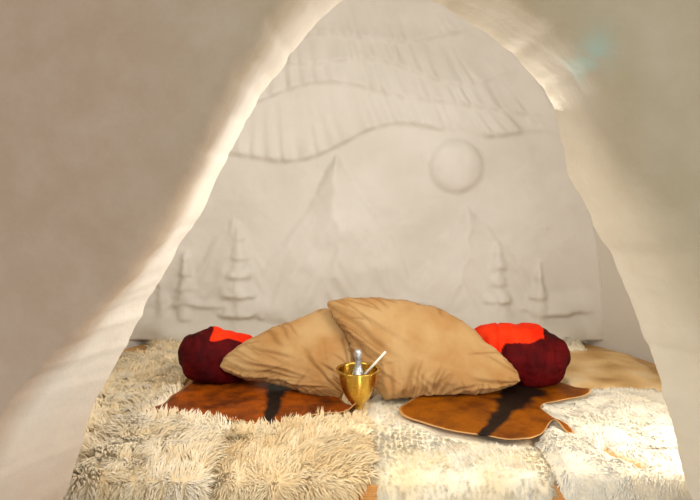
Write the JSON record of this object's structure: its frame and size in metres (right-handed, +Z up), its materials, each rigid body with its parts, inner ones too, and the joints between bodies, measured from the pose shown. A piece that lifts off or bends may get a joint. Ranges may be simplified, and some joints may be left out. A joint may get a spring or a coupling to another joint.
{
  "type": "igloo sleeping chamber",
  "caption": "Snow igloo sleeping chamber: hollow dome, thick front wall with an arched doorway, carved back wall, and a plank bed on a snow bench with skins, hides, pillows and ice bucket.",
  "frame": {"origin": "on the ground at the vertical axis of the dome, under the bed", "axes": "+X to the right as seen through the doorway, across the bed; +Y from the doorway towards the carved back wall; +Z up"},
  "size_m": [4.4998, 3.74, 3.2997],
  "materials": {
    "front_snow": "smoothed packed snow, warm in lamp light",
    "shell_snow": "smoothed packed snow",
    "carved_snow": "hand-carved snow, fine glazed grain",
    "plywood": "bare plywood",
    "pine": "bare planed pine",
    "wool": "undyed long wool",
    "calfskin": "short-haired hide",
    "goat_hide": "glossy short-haired hide with a dark back stripe",
    "bag_cloth": "brushed cloth with a red lining",
    "pillow_cloth": "plain woven cotton, creased",
    "bucket_brass": "hand-polished brass, lightly tarnished",
    "bottle_foil": "crinkled silver foil over green glass",
    "candle_wax": "white wax"
  },
  "bodies": {
    "root": {"front_pier_left": "front_snow", "front_pier_right": "front_snow", "front_haunch_left": "front_snow", "front_haunch_right": "front_snow", "front_crown": "front_snow", "wall_ring_1": "shell_snow", "wall_ring_2": "shell_snow", "wall_ring_3": "shell_snow", "wall_ring_4": "shell_snow", "wall_ring_5": "shell_snow", "upper_shell_1": "shell_snow", "upper_shell_2": "shell_snow", "upper_shell_3": "shell_snow", "upper_shell_4": "shell_snow", "upper_shell_5": "shell_snow", "crown_cap": "shell_snow", "back_wall": "carved_snow", "relief_landscape": "carved_snow", "relief_sky": "carved_snow", "relief_moon": "carved_snow", "snow_bench": "shell_snow", "bed_deck": "plywood", "front_board_left": "pine", "front_board_right": "pine", "fleece_front_left": "wool", "fleece_front_mid_left": "wool", "fleece_front_mid_right": "wool", "fleece_front_right": "wool", "fleece_side_left": "wool", "calfskin_side_right": "calfskin", "fleece_middle": "wool", "fleece_back_left": "wool", "fleece_back_right": "wool", "goat_hide_left": "goat_hide", "goat_hide_right": "goat_hide", "sleeping_bag_left": "bag_cloth", "sleeping_bag_right": "bag_cloth", "pillow_left": "pillow_cloth", "pillow_right": "pillow_cloth", "ice_bucket": "bucket_brass", "bottle": "bottle_foil", "candle": "candle_wax"}
  },
  "joints": []
}
